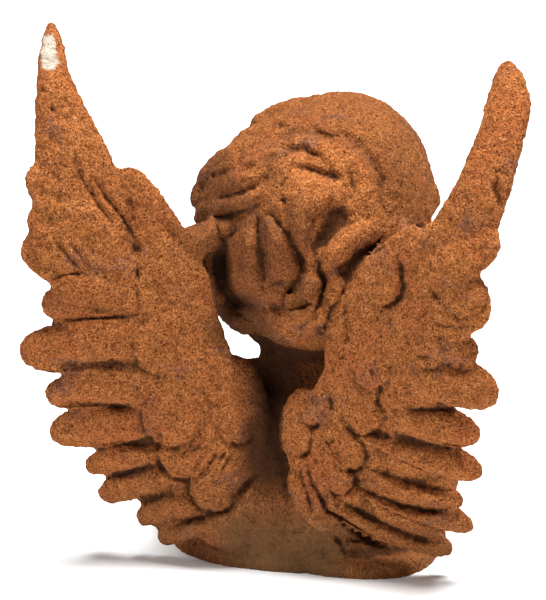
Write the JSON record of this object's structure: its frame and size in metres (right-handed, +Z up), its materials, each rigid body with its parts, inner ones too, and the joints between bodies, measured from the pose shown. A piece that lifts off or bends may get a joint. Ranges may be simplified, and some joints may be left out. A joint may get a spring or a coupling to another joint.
{
  "type": "angel figurine",
  "caption": "Cast bust of a winged cherub that leans on its folded arms, with raised feathered wings and a flat underside.",
  "frame": {"origin": "on the flat underside, at the middle of the figure between its wings", "axes": "+Z up, the figure faces -Y, its own left hand and left wing towards +X"},
  "size_m": [0.1738, 0.1016, 0.1888],
  "materials": {
    "rust_brown_casting": "unglazed sandy cast terracotta, rust brown, pitted and weathered"
  },
  "bodies": {
    "root": {"angel_figurine": "rust_brown_casting"}
  },
  "joints": []
}
